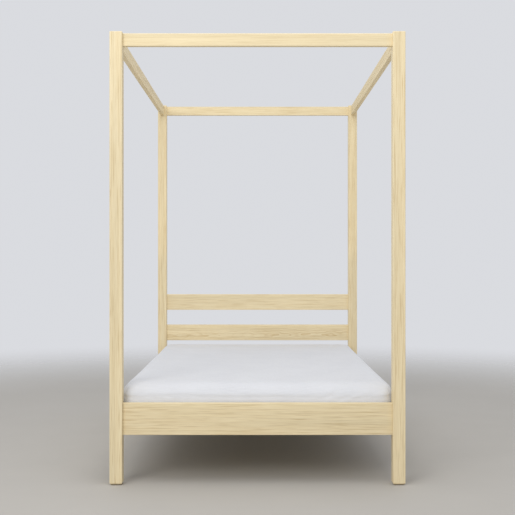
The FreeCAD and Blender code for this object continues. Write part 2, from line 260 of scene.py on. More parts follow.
# which of a board's axes run along, across and through it
GRAIN_ORDER = {"X": (0, 2, 1), "Y": (1, 2, 0), "Z": (2, 0, 1), "SLAT": (0, 1, 2),
               "LEDGER": (1, 0, 2)}
ARRIS_FROM, ARRIS_TO = 0.0035, 0.0005    # the arris band, sanded smoother and painted paler as a highlight, as a distance from the face
PLANED_BUMP, SAWN_BUMP = 0.00007, 0.00012


def paint(node, material):
    for slot in NODES[node].material_slots:
        slot.material = material


def pine(node, grain, seed, pith, rings, tone, bare=False, figure=0.0, calm=0.0):
    """Gives a CAD node its own board of pine.

    pith is (across, through) from the board's middle. A bare board is sawn and not varnished.
    """
    material, t, shader = new_material(f"pine_{node}", IOR=1.45,
                                       Specular_IOR_Level=0.12 if bare else 0.16)
    low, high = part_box(node)
    axes = t.separate(t.vmath("SUBTRACT", object_coords(t), tuple((low + high) / 2)))
    half = (high - low) / 2
    order = GRAIN_ORDER[grain]
    side, depth = (t.span(t.abs(axes[k]), half[k] - ARRIS_FROM, half[k] - ARRIS_TO)
                   for k in order[1:])
    arris = t.mul(side, depth)
    vector = t.combine(*(axes[k] for k in order))
    group = t.node("ShaderNodeGroup")
    group.node_tree = PINE
    given = {"Vector": vector, "Seed": seed, "Pith": (0.0, *pith), "Rings": rings, "Tone": tone,
             "Figure": figure, "Calm": calm}
    for name, value in given.items():
        t.put(group.inputs[name], value)
    # the arrises are sanded a little smoother than the faces, and painted paler than them as a
    # painted highlight
    color = t.mix(t.mul(arris, 0.30), group.outputs["Color"], EDGE_HIGHLIGHT)
    t.put(shader.inputs["Base Color"], color)
    t.put(shader.inputs["Roughness"], t.sub(group.outputs["Roughness"], t.mul(arris, 0.08)))
    distance = SAWN_BUMP if bare else PLANED_BUMP
    t.put(shader.inputs["Normal"], t.bump(group.outputs["Height"], distance, 0.6))
    paint(node, material)


# ---- other materials -------------------------------------------------------------------------
def beech():
    material, t, shader = new_material("beech_dowel", Roughness=0.62)
    fleck = t.stretched(object_coords(t), (900.0, 900.0, 900.0), 3.0)
    color = t.mix(fleck, (0.60, 0.40, 0.23, 1), (0.74, 0.55, 0.36, 1))
    t.put(shader.inputs["Base Color"], color)
    t.put(shader.inputs["Normal"], t.bump(fleck, 0.0001))
    return material


def zinc():
    """Bright zinc plate with a slight bluish and yellowish bloom and fine drawing marks."""
    material, t, shader = new_material("zinc_plate", Metallic=1.0)
    at = object_coords(t)
    bloom = t.noise(at, 140.0, 3.0)
    marks = t.stretched(at, (2500.0, 2500.0, 600.0), 2.0)
    color = t.mix(bloom, (0.60, 0.62, 0.66, 1), (0.74, 0.72, 0.66, 1))
    t.put(shader.inputs["Base Color"], color)
    t.put(shader.inputs["Roughness"], t.span(marks, 0.2, 0.8, 0.24, 0.42))
    t.put(shader.inputs["Normal"], t.bump(marks, 0.00004))
    return material


def cap_plastic():
    """Pine-coloured moulded plastic."""
    material, t, shader = new_material("pocket_cap", Roughness=0.5)
    grain = t.noise(object_coords(t), 2600.0, 2.0)
    color = t.mix(grain, (0.66, 0.52, 0.32, 1), (0.72, 0.58, 0.37, 1))
    t.put(shader.inputs["Base Color"], color)
    t.put(shader.inputs["Normal"], t.bump(grain, 0.00008))
    return material


def felt():
    """Brown needle felt: tangled fibres at two sizes."""
    material, t, shader = new_material("needle_felt", Roughness=0.95, Sheen_Weight=0.5,
                                       Sheen_Roughness=0.5)
    at = object_coords(t)
    tangle = t.noise(at, 900.0, 4.0, 0.7, 1.6)
    fleck = t.noise(at, 320.0, 3.0, 0.6, 0.8)
    color = t.mix(tangle, (0.060, 0.045, 0.032, 1), (0.240, 0.190, 0.140, 1))
    color = t.mix(t.span(fleck, 0.55, 0.75, 0.0, 0.5), color, (0.33, 0.28, 0.22, 1))
    t.put(shader.inputs["Base Color"], color)
    t.put(shader.inputs["Normal"], t.bump(tangle, 0.0006))
    return material


TAPE_RIB = 0.0011
TAPE_TWILL = 0.0019
TAPE_ZIGZAG = 0.0028


def webbing():
    """White polyester tape: ribs across it and a herringbone along it."""
    material, t, shader = new_material("webbing_tape", Roughness=0.75, Sheen_Weight=0.2)
    at = object_coords(t)
    x, y, _ = t.separate(at)
    rib = t.abs(t.sine(y, TAPE_RIB))
    zigzag = t.math("PINGPONG", x, TAPE_ZIGZAG)
    twill = t.abs(t.sine(t.add(y, zigzag), TAPE_TWILL))
    soil = t.noise(at, 35.0, 3.0)
    height = t.add(t.mul(rib, 0.5), t.mul(twill, 0.5))
    # the low parts of the ribs and herringbone are darkened with painted shade
    color = t.mix(height, (0.52, 0.51, 0.47, 1), (0.80, 0.79, 0.75, 1))
    color = t.mix(t.span(soil, 0.5, 0.8, 0.0, 0.3), color, (0.62, 0.58, 0.50, 1))
    t.put(shader.inputs["Base Color"], color)
    t.put(shader.inputs["Normal"], t.bump(height, 0.0003))
    return material


SHEET_LIGHT = (0.698, 0.705, 0.727, 1)
SHEET_DARK = (0.625, 0.632, 0.654, 1)
SHEET_WASHED = (0.706, 0.713, 0.732, 1)
# painted shade along the corner darts' pinched line
SHEET_PINCH_SHADE = (0.40, 0.41, 0.43, 1)
SHEET_THREAD = (0.86, 0.86, 0.87, 1)
TWILL_PITCH = 0.0011
DART_FADE, DART_REACH = 0.065, 0.045     # the corner dart's length, in from the mattress's side
DART_TOP = (0.012, 0.024)                # it starts between these depths below the top
STITCH_OFF = 0.0050                      # the stitches run this far beside the dart
STITCH_PITCH = 0.0016


def cotton():
    """Pale grey-white cotton sateen: a fine weave, slubs along both threads, washed clouding."""
    material, t, shader = new_material("sheet_cotton", Sheen_Weight=0.18, Sheen_Roughness=0.45)
    at = object_coords(t)
    x, y, z = t.separate(at)
    slub_x = t.stretched(at, (22.0, 900.0, 300.0), 2.0)
    slub_y = t.stretched(at, (900.0, 22.0, 300.0), 2.0)
    slub = t.add(t.mul(slub_x, 0.5), t.mul(slub_y, 0.5))
    thread = t.abs(t.sine(t.add(t.add(x, y), z), TWILL_PITCH))

    # the dart sewn down each corner: a pinched line darkened with painted shade, with a row of
    # stitches beside it
    in_x = t.sub(HALF_X, t.abs(x))
    in_y = t.sub(HALF_Y, t.abs(y))
    off = t.abs(t.sub(in_x, in_y))
    corner = t.mul(t.span(in_x, DART_FADE, DART_REACH), t.span(in_y, DART_FADE, DART_REACH))
    corner = t.mul(corner, t.span(z, TOP_Z - DART_TOP[0], TOP_Z - DART_TOP[1]))
    pinch = t.mul(corner, t.span(off, 0.0022, 0.0004))
    dash = t.span(t.math("PINGPONG", z, STITCH_PITCH), 0.0005, 0.0008)
    beside = t.abs(t.sub(off, STITCH_OFF))
    stitch = t.mul(t.mul(corner, t.span(beside, 0.0010, 0.0004)), dash)
    cloud = t.noise(at, 5.0, 3.0, 0.55)
    crush = t.noise(at, 42.0, 4.0, 0.55, 0.6)
    color = t.mix(t.span(slub, 0.38, 0.62, 0.0, 1.0), SHEET_DARK, SHEET_LIGHT)
    color = t.mix(t.span(cloud, 0.3, 0.7, 0.0, 0.5), color, SHEET_WASHED)
    # painted shade along the dart's pinched line
    color = t.mix(t.mul(pinch, 0.18), color, SHEET_PINCH_SHADE)
    color = t.mix(t.mul(stitch, 0.7), color, SHEET_THREAD)
    t.put(shader.inputs["Base Color"], color)
    normal = t.bump(t.add(t.mul(thread, 0.5), slub), 0.00022, 0.6)
    normal = t.bump(t.sub(stitch, t.mul(pinch, 1.2)), 0.0006, 0.8, normal)
    t.put(shader.inputs["Normal"], t.bump(crush, 0.0016, 0.30, normal))
    t.put(shader.inputs["Roughness"], t.span(slub, 0.3, 0.7, 0.82, 0.70))
    return material


DIAMOND = 0.085              # the quilted diamonds' size, and their channels' half width
CHANNEL = 0.02
KNIT_X, KNIT_Y = 0.0016, 0.0012


def ticking():
    """White knitted mattress ticking with quilted diamonds."""
    material, t, shader = new_material("mattress_ticking", Roughness=0.88, Sheen_Weight=0.25)
    x, y, z = t.separate(object_coords(t))
    a = t.math("PINGPONG", t.add(t.add(x, y), z), DIAMOND)
    b = t.math("PINGPONG", t.sub(t.sub(x, y), z), DIAMOND)
    channel = t.math("MINIMUM", t.math("MINIMUM", a, t.sub(DIAMOND, a)),
                     t.math("MINIMUM", b, t.sub(DIAMOND, b)))
    quilt = t.span(channel, 0.0, CHANNEL)
    knit_x = t.sine(x, KNIT_X)
    knit_y = t.sine(t.add(y, z), KNIT_Y)
    knit = t.abs(t.mul(knit_x, knit_y))
    # the knit's low parts and the lines of the quilted channels are darkened with painted shade
    color = t.mix(knit, (0.70, 0.70, 0.69, 1), (0.84, 0.84, 0.83, 1))
    color = t.mix(t.span(channel, 0.0, 0.003, 0.35, 0.0), color, (0.55, 0.57, 0.60, 1))
    t.put(shader.inputs["Base Color"], color)
    t.put(shader.inputs["Normal"], t.bump(knit, 0.0004, 0.7, t.bump(quilt, 0.006, 0.8)))
    return material


BEECH, ZINC, CAP, FELT, WEBBING = beech(), zinc(), cap_plastic(), felt(), webbing()
COTTON, TICKING = cotton(), ticking()


# ---- wood and hardware keep their CAD shape and get their finish -----------------------------
# grain direction, seed, pith, rings, tone, and what else differs
BOARDS = {
    "front_left_post": ("Z", 11.3, (-0.075, 0.046), 0.50, 1.0, {}),
    "front_right_post": ("Z", 17.0, (0.075, 0.026), 0.50, 1.0, {}),
    "rear_left_post": ("Z", 22.7, (-0.075, 0.006), 0.50, 0.975, {}),
    "rear_right_post": ("Z", 28.4, (0.075, -0.014), 0.50, 0.98, {}),
    "canopy_front_rail": ("X", 3.1, (0.110, 0.090), 0.25, 1.01, {"figure": 0.15, "calm": 0.5}),
    "canopy_rear_rail": ("X", 8.4, (-0.120, 0.070), 0.45, 0.965, {"figure": 0.15}),
    "canopy_left_rail": ("Y", 14.9, (0.100, 0.080), 0.50, 1.01, {"figure": 0.15}),
    "canopy_right_rail": ("Y", 19.6, (-0.095, 0.085), 0.50, 1.01, {"figure": 0.15}),
    "headboard_top_plank": ("X", 23.2, (0.150, 0.060), 0.45, 1.015, {"figure": 0.15}),
    "headboard_lower_plank": ("X", 29.7, (-0.014, 0.042), 0.95, 1.03, {"figure": 1.0}),
    "footboard_rail": ("X", 34.5, (-0.170, 0.050), 0.55, 1.015, {"figure": 0.15}),
    "head_end_rail": ("X", 39.1, (0.060, 0.060), 0.55, 0.99, {"figure": 0.15}),
    "left_side_rail": ("Y", 43.8, (0.030, 0.070), 0.60, 1.0, {"figure": 0.15}),
    "right_side_rail": ("Y", 48.6, (-0.040, 0.062), 0.60, 0.995, {"figure": 0.15}),
    "left_slat_ledger": ("LEDGER", 95.0, (0.05, 0.04), 0.7, 0.97, {"bare": True}),
    "right_slat_ledger": ("LEDGER", 101.0, (0.05, 0.04), 0.7, 0.97, {"bare": True}),
}
for name, (*board, more) in BOARDS.items():
    pine(name, *board, **more)

rng = np.random.default_rng(7)
SLATS = sorted(n for n in NODES if n.startswith("slat_") and n[5:].isdigit())
for name in SLATS:
    pith = (float(rng.uniform(-0.05, 0.05)), float(rng.uniform(0.03, 0.09)))
    seed = float(rng.uniform(50, 90))
    pine(name, "SLAT", seed, pith, 0.8, float(rng.uniform(0.93, 1.02)), bare=True)

for name in NODES:
    if name.endswith("_dowels"):
        paint(name, BEECH)
    elif name.endswith(("_bolts", "_nuts", "_washers", "_screws", "_staples")):
        paint(name, ZINC)
    elif name.endswith("_caps"):
        paint(name, CAP)


# ---- mesh helpers ----------------------------------------------------------------------------
def mesh_object(name, points, faces, material, body):
    data = bpy.data.meshes.new(name)
    data.from_pydata([tuple(map(float, p)) for p in points], [], faces)
    data.update()
    data.polygons.foreach_set("use_smooth", [True] * len(data.polygons))
    data.materials.append(material)
    made = bpy.data.objects.new(name, data)
    bpy.context.scene.collection.objects.link(made)
    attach(made, body)
    return made


def read_vertices(obj, attribute):
    flat = np.empty(len(obj.data.vertices) * 3, np.float32)
    obj.data.vertices.foreach_get(attribute, flat)
    return flat.reshape(-1, 3).astype(float)


def coords(obj):
    return read_vertices(obj, "co")


def set_coords(obj, points):
    obj.data.vertices.foreach_set("co", np.asarray(points, np.float32).ravel())
    obj.data.update()


def ring_faces(first, second, count):
    """Quads between two closed rows of vertices that start at those indices."""
    return [(first + k, first + (k + 1) % count, second + (k + 1) % count, second + k)
            for k in range(count)]


def bell(distance, width):
    """1 at no distance, falling to nothing over about twice that width."""
    return np.exp(-((distance / width) ** 2))


def smooth_noise(points, scale, seed):
    """Value noise, -1 to 1, at each point, smooth over that many metres."""
    p = points / scale
    cell = np.floor(p).astype(int)
    f = p - cell
    f = f * f * (3 - 2 * f)

    def value(corner):
        x, y, z = corner.T
        h = (x * 73856093) ^ (y * 19349663) ^ (z * 83492791) ^ (seed * 2654435)
        h = (h ^ (h >> 13)) * 1274126177
        return ((h ^ (h >> 16)) & 0xFFFF) / 32767.5 - 1

    total = 0
    for dx in (0, 1):
        for dy in (0, 1):
            for dz in (0, 1):
                corner = np.array([dx, dy, dz])
                share = np.abs(1 - corner - f).prod(axis=1)
                total = total + share * value(cell + corner)
    return total


# ---- mattress and sheet share one way to build a rounded block -------------------------------
EDGE_DROP = 0.046            # how far down the top's rounding ends
SIDE_IN = 0.042              # how far in it starts at the two sides
SIDE_FULLNESS = 2.3          # 2 would be an ellipse there, more is fuller
ROLL_END = math.radians(27)  # head and foot have a wide roll that still slopes where it ends
ROLL_RADIUS = EDGE_DROP / (1 - math.sin(ROLL_END))
SHOULDER = 0.0040            # how much narrower the block is below the rounding than lower down
SHOULDER_ROW = 0.004         # one more row this far below it keeps the fold there crisp
SHOULDER_PACE = 1.6          # more reaches the full width higher up
FOOT_ROUND = 0.016           # the rounding at the base
BASE_LIFT = 0.0016           # room for the sheet under the mattress
PLAN_CORNER = 0.050          # the corners' radius seen from above
CORNER_SHRINK = 0.6          # how fast it falls for rows further in
SMALLEST_CORNER = 0.014


class Block:
    """A rounded block: a grid on top, closed rows down its side, and a grid below or an open base.

    profile lists (inset x, inset y, z, corner) from the top's flat part down and round: how far
    the row lies inside the block's plan at the sides and at the ends, its height and its plan
    corner radius.
    """

    def __init__(self, half_x, half_y, cell, profile):
        self.half = np.array([half_x, half_y])
        self.profile = profile
        self.nx = int(round(2 * half_x / cell))
        self.ny = int(round(2 * half_y / cell))

    def place(self, unit, inset_x, inset_y, z, corner):
        """Points of the unit square, -1 to 1, laid on the plan at those insets and height."""
        half = self.half - np.array([inset_x, inset_y])
        p = unit * half
        q = np.maximum(np.abs(p) - (half - corner), 0)
        reach = q.max(1)
        length = np.maximum(np.hypot(q[:, 0], q[:, 1]), 1e-9)
        out = np.minimum(np.abs(p), half - corner) + q * (reach / length)[:, None]
        return np.column_stack([np.sign(p) * out, np.full(len(out), z)])

    def grid(self):
        xs = np.linspace(-1, 1, self.nx + 1)
        ys = np.linspace(-1, 1, self.ny + 1)
        return np.array([(x, y) for y in ys for x in xs])

    def border(self):
        """Indices of the grid's outer points, in order round it."""
        w = self.nx + 1
        low = list(range(self.nx))
        right = [self.nx + w * k for k in range(self.ny)]
        high = [w * self.ny + self.nx - k for k in range(self.nx)]
        left = [w * (self.ny - k) for k in range(self.ny)]
        return low + right + high + left

    def grid_faces(self, start, flip):
        w = self.nx + 1
        faces = []
        for j in range(self.ny):
            for i in range(self.nx):
                a = start + j * w + i
                quad = (a, a + 1, a + w + 1, a + w)
                faces.append(quad[::-1] if flip else quad)
        return faces

    def build(self, closed):
        unit = self.grid()
        edge = self.border()
        loop = unit[edge]
        count = len(edge)
        rows = [self.place(unit, *self.profile[0])]
        faces = self.grid_faces(0, False)
        total = len(unit)
        previous = edge
        last = len(self.profile) - 1
        for k, row in enumerate(self.profile[1:], 1):
            if closed and k == last:
                rows.append(self.place(unit, *row))
                current = [total + e for e in edge]
                faces += self.grid_faces(total, True)
            else:
                rows.append(self.place(loop, *row))
                current = list(range(total, total + count))
            for i in range(count):
                j = (i + 1) % count
                faces.append((previous[i], current[i], current[j], previous[j]))
            total += len(rows[-1])
            previous = current
        return np.vstack(rows), faces


def side_profile(grow, edge_steps, side_steps, foot_steps, tuck_steps, tuck):
    """Rows from the top's flat part to under the base, for a block grow larger all round."""
    top, base = TOP_Z + grow, BASE_Z + BASE_LIFT - grow
    rows = []
    for k in range(edge_steps + 1):
        tilt = 0.5 * math.pi + (ROLL_END - 0.5 * math.pi) * k / edge_steps
        drop = ROLL_RADIUS * (1 - math.sin(tilt))
        height = max(1 - drop / EDGE_DROP, 0.0)
        out = (1 - height ** SIDE_FULLNESS) ** (1 / SIDE_FULLNESS)
        inset_y = ROLL_RADIUS * (math.cos(ROLL_END) - math.cos(tilt))
        rows.append((SHOULDER + SIDE_IN * (1 - out), SHOULDER + inset_y, top - drop))
    belly, foot = top - EDGE_DROP, base + FOOT_ROUND
    below = [(belly - foot) * k / side_steps for k in range(1, side_steps + 1)]
    for drop in [SHOULDER_ROW] + below:
        share = min(SHOULDER_PACE * drop / (belly - foot), 1.0)
        inset = SHOULDER * (1 - math.sin(0.5 * math.pi * share))
        rows.append((inset, inset, belly - drop))
    for k in range(1, foot_steps + 1):
        turn = 0.5 * math.pi * k / foot_steps
        inset = FOOT_ROUND * (1 - math.cos(turn))
        rows.append((inset, inset, foot - FOOT_ROUND * math.sin(turn)))
    for k in range(1, tuck_steps + 1):
        inset = FOOT_ROUND + (tuck - FOOT_ROUND) * k / tuck_steps
        rows.append((inset, inset, base))
    return [(x, y, z, max(PLAN_CORNER - CORNER_SHRINK * y, SMALLEST_CORNER)) for x, y, z in rows]


# ---- mattress --------------------------------------------------------------------------------
CELL = 0.022                 # the grid's spacing on top of the mattress and the sheet
CORE_IN = 0.002              # the mattress is this much smaller than its CAD solid, for the sheet
BORDER_SEAMS = (TOP_Z - EDGE_DROP, BASE_Z + 0.024)
BORDER_REACH = 0.02          # points this near the block's sides belong to the border
SEAM_WIDTH, SEAM_DEPTH = 0.006, 0.004
MEAN_HALF = 0.8              # halfway between the mattress's half width and half length


def make_mattress():
    profile = side_profile(0.0, 7, 7, 3, 2, 0.05)
    points, faces = Block(HALF_X - CORE_IN, HALF_Y - CORE_IN, CELL, profile).build(closed=True)
    # the sewn border: a shallow groove where the top and base panels meet the side
    for level in BORDER_SEAMS:
        x, y, z = np.abs(points).T
        side = (x > HALF_X - BORDER_REACH) | (y > HALF_Y - BORDER_REACH)
        pull = bell(z - level, SEAM_WIDTH) * SEAM_DEPTH * side
        points[:, :2] *= 1 - (pull / MEAN_HALF)[:, None]
    made = mesh_object("mattress_core", points, faces, TICKING, BEDDING_BODY)
    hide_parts("mattress")
    return made


# ---- fitted sheet ----------------------------------------------------------------------------
SHEET_GROW = 0.0016
SHEET_THICK = 0.0008
TUCK = 0.108                 # how far the sheet reaches under the mattress
SHEET_GAP = 0.0005           # the least it stays away from the mattress
RAIL_GAP = 0.0012            # from the rails
SLAT_GAP = 0.0010            # and from the slats
RAIL_INSIDE_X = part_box("right_side_rail")[0].x
RAIL_INSIDE_Y = -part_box("footboard_rail")[1].y
SLAT_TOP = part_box("slat_01")[1].z
DRAPE_FRAMES = 18
DRAPE_MOST = 0.009           # the cloth simulation moves no point further
CORNER_CALM = 0.85           # the share of that movement taken away at the corners
CORNER_REACH = 0.13
CLOTH = {
    "quality": 5, "mass": 0.18, "air_damping": 2.0, "bending_stiffness": 0.35, "shrink_min": -0.006,
    "tension_stiffness": 25.0, "compression_stiffness": 25.0, "shear_stiffness": 8.0,
    "tension_damping": 8.0, "compression_damping": 8.0, "shear_damping": 8.0,
}


def drape(sheet, over, pinned):
    """Lets the sheet settle over the mattress as cloth cut slightly large, and gives its points."""
    group = sheet.vertex_groups.new(name="held")
    group.add([int(i) for i in pinned], 1.0, "REPLACE")
    over.modifiers.new("collide", "COLLISION")
    over.collision.thickness_outer = 0.001
    over.collision.cloth_friction = 12.0
    cloth = sheet.modifiers.new("cloth", "CLOTH")
    for key, value in CLOTH.items():
        setattr(cloth.settings, key, value)
    cloth.settings.vertex_group_mass = "held"
    cloth.collision_settings.distance_min = 0.001
    cloth.collision_settings.collision_quality = 2
    cloth.collision_settings.use_self_collision = False
    scene = bpy.context.scene
    cloth.point_cache.frame_start = 1
    cloth.point_cache.frame_end = DRAPE_FRAMES
    before = coords(sheet)
    for f in range(1, DRAPE_FRAMES + 1):
        scene.frame_set(f)
    evaluated = sheet.evaluated_get(bpy.context.evaluated_depsgraph_get())
    after = np.array([v.co[:] for v in evaluated.data.vertices])
    sheet.modifiers.remove(cloth)
    over.modifiers.remove(over.modifiers["collide"])
    sheet.vertex_groups.clear()
    scene.frame_set(1)
    move = after - before
    size = np.linalg.norm(move, axis=1)
    scale = np.where(size > DRAPE_MOST, DRAPE_MOST / np.maximum(size, 1e-9), 1.0)
    # the sheet's sewn corners are its tightest part
    corner = np.hypot(HALF_X - np.abs(before[:, 0]), HALF_Y - np.abs(before[:, 1]))
    scale *= 1 - CORNER_CALM * bell(corner, CORNER_REACH)
    return before + move * scale[:, None]


# start x, start y, end x, end y and height of each pull line
PULL_LINES = (
    (-0.53, -0.69, -0.15, -0.88, 0.00045),
    (-0.50, -0.74, -0.10, -0.91, -0.00040),
    (-0.54, -0.78, -0.20, -0.915, 0.00040),
    (0.50, -0.60, 0.20, -0.86, 0.00030),
    (0.53, 0.66, 0.22, 0.90, 0.00040),
    (-0.50, 0.72, -0.12, 0.89, 0.00040),
    (-0.42, 0.20, -0.54, -0.22, 0.00030),
    (0.46, 0.10, 0.54, 0.46, 0.00030),
)
PULL_WIDTH = 0.011
PULL_BEND = 0.006            # how far a pull line curves to either side
# height, length, stretch along x, y and z, and seed of soft unevenness
TOP_SLACK = ((0.0013, 0.21, (1, 0.55, 1), 3), (0.0005, 0.085, (0.6, 1, 1), 5))
SIDE_SLACK = (0.0006, 0.075, (1, 1, 0.35), 41)
FAN_HEIGHT = 0.0009          # small folds that fan out from each corner
FAN_TURNS = 15               # radians of wave for each radian round the corner
FAN_AT, FAN_WIDTH = 0.16, 0.13   # how far from the corner they are highest, and their spread
FAN_LOW = 0.35               # the share of that height left on the side
FOLD_Z = TOP_Z - EDGE_DROP   # the fold where the roll meets the side
FOLD_REACH = 0.017           # how far from it the wander moves the cloth
FOLD_WAVES = ((0.0032, 0.15, 21), (0.0016, 0.05, 23))   # height, length and seed of each wander
KINK_X, KINK_WIDTH, KINK_HEIGHT, KINK_DIP = 0.32, 0.014, 0.006, 0.0012
# height, distance from the fold and width of the ridge over it and the dip under it
RIDGE = (0.0007, 0.005, 0.007)
DIP = (0.0008, -0.011, 0.008)
DIP_PATCHES = (0.0008, 0.11, 31)    # the dip's unevenness: height, length and seed


def pull_line(x, y, start_x, start_y, end_x, end_y, height):
    """A long faint ridge or dip from start to end, nothing at either end."""
    run = np.array([end_x - start_x, end_y - start_y])
    length = np.hypot(*run)
    run = run / length
    from_start = np.column_stack([x - start_x, y - start_y])
    t = from_start @ run / length
    off = from_start @ np.array([-run[1], run[0]]) + PULL_BEND * np.sin(t * 5)
    return height * bell(off, PULL_WIDTH) * np.clip(4 * t * (1 - t), 0, 1)


def slack(points, height, length, stretch, seed):
    return smooth_noise(points * stretch, length, seed) * height


def crease(points, normals):
    """Relief over the draped shape: slack, corner fans, pull lines and the side's fold."""
    x, y, z = points.T
    top = np.clip((z - FOLD_Z) / EDGE_DROP, 0, 1)
    side = np.clip((TOP_Z - 0.02 - z) / 0.03, 0, 1) * (z > BASE_Z + 0.01)
    lift = sum(slack(points, *kind) for kind in TOP_SLACK) * top
    for sx in (-1, 1):
        for sy in (-1, 1):
            dx, dy = sx * HALF_X - x, sy * HALF_Y - y
            r = np.hypot(dx, dy)
            angle = np.arctan2(np.abs(dy), np.abs(dx) + 1e-6)
            turn = angle * FAN_TURNS + 1.3 * sx + 0.6 * sy + 2.0 * smooth_noise(points, 0.3, 11)
            share = FAN_LOW + (1 - FAN_LOW) * top
            lift += np.sin(turn) * FAN_HEIGHT * bell(r - FAN_AT, FAN_WIDTH) * share
    for line in PULL_LINES:
        lift += pull_line(x, y, *line) * top

    # the fold wanders up and down along the sides, with one small kink at the foot end
    around = np.where(np.abs(y) > HALF_Y - 0.10, x, y)
    wander = 0
    for height, length, seed in FOLD_WAVES:
        line = np.column_stack([around / length, np.zeros(len(x)), np.sign(y)])
        wander = wander + height * smooth_noise(line, 1.0, seed)
    kink = bell(x - KINK_X, KINK_WIDTH) * (y < 0)
    wander += KINK_HEIGHT * kink
    points = points.copy()
    points[:, 2] += wander * bell(z - FOLD_Z, FOLD_REACH)
    above = z - (FOLD_Z + wander)
    ridge, ridge_at, ridge_width = RIDGE
    lift += ridge * bell(above - ridge_at, ridge_width) * (z < TOP_Z - 0.02)
    dip, dip_at, dip_width = DIP
    patch, patch_length, patch_seed = DIP_PATCHES
    dip = dip + patch * smooth_noise(points, patch_length, patch_seed) + KINK_DIP * kink
    lift -= dip * bell(above - dip_at, dip_width) * side
    lift += slack(points, *SIDE_SLACK) * side
    return points + normals * lift[:, None]


def subdivide(obj):
    """One smooth subdivision, applied."""
    modifier = obj.modifiers.new("smooth", "SUBSURF")
    modifier.levels = modifier.render_levels = 1
    modifier.boundary_smooth = "ALL"
    depsgraph = bpy.context.evaluated_depsgraph_get()
    fine = bpy.data.meshes.new_from_object(obj.evaluated_get(depsgraph))
    obj.modifiers.remove(modifier)
    fine.name = obj.data.name
    obj.data = fine


def rim_loop(obj):
    """The points along the mesh's open edge, in order."""
    uses = {}
    for polygon in obj.data.polygons:
        for key in polygon.edge_keys:
            uses[key] = uses.get(key, 0) + 1
    beside = {}
    for a, b in (key for key, n in uses.items() if n == 1):
        beside.setdefault(a, []).append(b)
        beside.setdefault(b, []).append(a)
    start = min(beside)
    loop, before, here = [start], None, start
    while True:
        step = next(k for k in beside[here] if k != before)
        if step == start:
            break
        loop.append(step)
        before, here = here, step
    return coords(obj)[loop]


def keep_outside(points, solid, gap):
    """Moves any point nearer than gap to that solid's surface, or inside it, back out to gap."""
    faces = [tuple(p.vertices) for p in solid.data.polygons]
    tree = BVHTree.FromPolygons(coords(solid).tolist(), faces)
    for k, point in enumerate(points):
        spot, normal = tree.find_nearest(point)[:2]
        short = gap - (Vector(point) - spot).dot(normal)
        if short > 0:
            points[k] += np.array(normal) * short


def make_sheet(mattress):
    """The sheet over the mattress, and the line of its open edge."""
    profile = side_profile(SHEET_GROW, 7, 8, 2, 4, TUCK)
    block = Block(HALF_X + SHEET_GROW, HALF_Y + SHEET_GROW, CELL, profile)
    points, faces = block.build(closed=False)
    sheet = mesh_object("sheet_cover", points, faces, COTTON, BEDDING_BODY)
    under = points[:, 2] < BASE_Z + 0.004
    set_coords(sheet, drape(sheet, mattress, np.nonzero(under)[0]))
    subdivide(sheet)
    shaped = crease(coords(sheet), read_vertices(sheet, "normal"))
    keep_outside(shaped, mattress, SHEET_GAP)
    for axis, limit in ((0, RAIL_INSIDE_X - RAIL_GAP), (1, RAIL_INSIDE_Y - RAIL_GAP)):
        shaped[:, axis] = np.clip(shaped[:, axis], -limit, limit)
    shaped[:, 2] = np.maximum(shaped[:, 2], SLAT_TOP + SLAT_GAP)
    set_coords(sheet, shaped)
    edge = rim_loop(sheet)
    thick = sheet.modifiers.new("thickness", "SOLIDIFY")
    thick.thickness = SHEET_THICK
    thick.offset = 1.0
    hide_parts("fitted_sheet")
    return sheet, edge


HEM_STEP = 0.0065            # between its points along the edge
HEM_WIDE, HEM_HIGH = 0.0085, 0.0011     # half its width and thickness
HEM_REACH = 0.85             # how far in its middle lies from the edge, in half widths
HEM_GATHER = 0.026           # from one gather to the next
HEM_SWAY, HEM_PUCKER = 0.0014, 0.0007   # how far a gather moves it sideways and up
HEM_LIFT = 0.0002            # the least it stays above the slats
HEM_SECTION = 8


def make_hem(line):
    """The gathered elastic casing along the sheet's edge under the mattress."""
    closed = np.vstack([line, line[:1]])
    run = np.concatenate([[0], np.cumsum(np.linalg.norm(np.diff(closed, axis=0), axis=1))])
    count = int(run[-1] / HEM_STEP)
    s = np.linspace(0, run[-1], count, endpoint=False)
    path = np.column_stack([np.interp(s, run, closed[:, k]) for k in range(3)])
    ahead = np.roll(path, -2, 0) - np.roll(path, 2, 0)
    ahead /= np.linalg.norm(ahead, axis=1)[:, None]
    inward = np.column_stack([-ahead[:, 1], ahead[:, 0], np.zeros(count)])
    inward *= np.sign(-(inward * path).sum(1))[:, None]
    gather = np.sin(s * 2 * math.pi / HEM_GATHER + 2.2 * smooth_noise(path, 0.08, 51))
    points, faces = [], []
    for k in range(HEM_SECTION):
        a = 2 * math.pi * k / HEM_SECTION
        wide = HEM_WIDE * (math.cos(a) + HEM_REACH)
        high = HEM_HIGH * math.sin(a)
        outer = 0.4 + 0.6 * (math.cos(a) > 0)
        row = path + inward * (wide + HEM_SWAY * gather)[:, None]
        row[:, 2] += high + HEM_PUCKER * gather * outer + HEM_LIFT
        row[:, 2] = np.maximum(row[:, 2], SLAT_TOP + HEM_LIFT)
        points.append(row)
    for k in range(HEM_SECTION):
        first, second = k * count, ((k + 1) % HEM_SECTION) * count
        faces += [tuple(reversed(f)) for f in ring_faces(first, second, count)]
    points = np.vstack(points)
    return mesh_object("sheet_elastic_hem", points, faces, COTTON, BEDDING_BODY)


mattress = make_mattress()
cover, hem_line = make_sheet(mattress)
hem = make_hem(hem_line)


# ---- webbing straps under the slats ----------------------------------------------------------
STRAP_THICK = 0.00042        # half its thickness
STRAP_DROP = 0.00045         # its middle hangs this far under the slats
STRAP_SAG = (0.0012, 0.0042)     # the least and most that it sags between two slats
SAG_SHAPE = 1.4              # 1 would be a sine curve, more is flatter near the slats
STRAP_WANDER = 0.0012        # how far it strays sideways
STRAP_ROWS = 420
